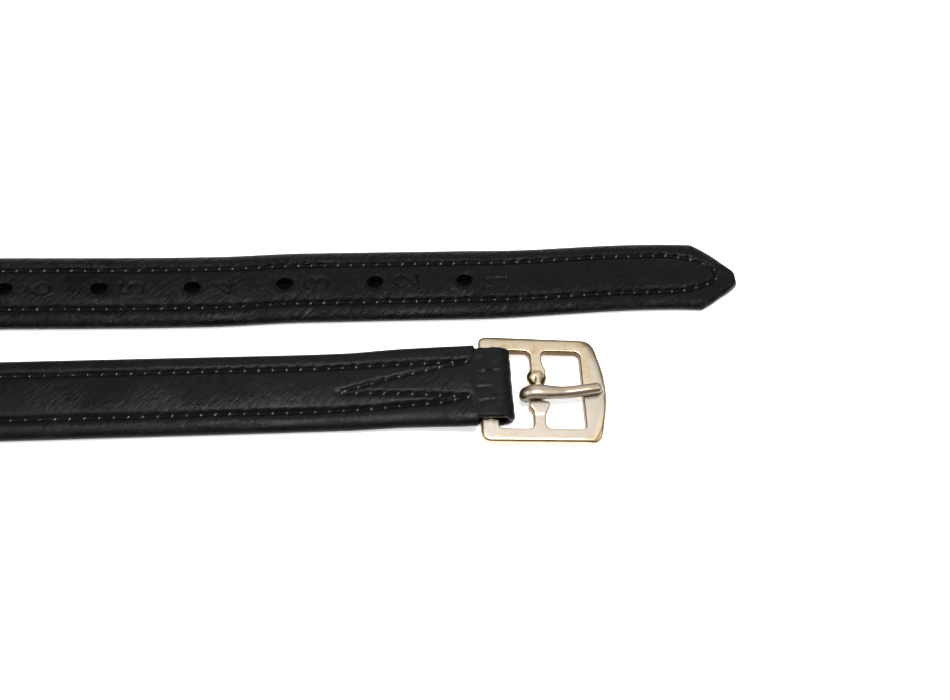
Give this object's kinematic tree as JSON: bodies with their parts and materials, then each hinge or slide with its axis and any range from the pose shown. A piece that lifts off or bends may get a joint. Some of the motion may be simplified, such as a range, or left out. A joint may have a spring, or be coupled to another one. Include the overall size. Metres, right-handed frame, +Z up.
{
  "type": "stirrup leather",
  "caption": "Lined black leather strap doubled back on itself, with a pointed punched end and a cast buckle with a tongue on the other end.",
  "frame": {"origin": "middle of the box round the doubled strap, on the surface it lies on", "axes": "+X along the strap towards the point and the buckle, +Y from the buckle run to the point run, +Z up out of the grain side"},
  "size_m": [0.7232, 0.0764, 0.0281],
  "materials": {
    "cover_leather": "black grain leather, satin",
    "lining_leather": "black lining leather, matt",
    "core_webbing": "woven polyester webbing",
    "thread": "waxed black polyester thread",
    "buckle_metal": "pale gold casting, satin",
    "tongue_metal": "warm grey, polished, darker than the frame"
  },
  "bodies": {
    "strap_middle": {"middle_cover": "cover_leather", "middle_core": "core_webbing", "middle_lining": "lining_leather", "middle_outer_seam": "thread", "middle_inner_seam": "thread"},
    "point_end": {"point_cover": "cover_leather", "point_core": "core_webbing", "point_lining": "lining_leather", "point_seam": "thread"},
    "buckle_end": {"buckle_end_cover": "cover_leather", "buckle_end_core": "core_webbing", "buckle_end_lining": "lining_leather", "buckle_end_seam": "thread", "turned_back_end": "cover_leather"},
    "buckle": {"buckle_frame": "buckle_metal"},
    "tongue": {"tongue": "tongue_metal"}
  },
  "joints": [
    {"name": "point_flex", "type": "hinge", "parent": "strap_middle", "child": "point_end", "pos_m": [0.14756, 0.0242, 0.0056], "axis": [0, -1, 0], "range_deg": [0, 60]},
    {"name": "buckle_end_flex", "type": "hinge", "parent": "strap_middle", "child": "buckle_end", "pos_m": [0.14756, -0.0178, 0.0056], "axis": [0, -1, 0], "range_deg": [0, 60]},
    {"name": "buckle_swing", "type": "hinge", "parent": "buckle_end", "child": "buckle", "pos_m": [0.26756, -0.0192, 0.0044], "axis": [0, -1, 0], "range_deg": [0, 80]},
    {"name": "tongue_swing", "type": "hinge", "parent": "buckle", "child": "tongue", "pos_m": [0.28403, -0.0192, 0.00354], "axis": [0, -1, 0], "range_deg": [0, 110]}
  ]
}
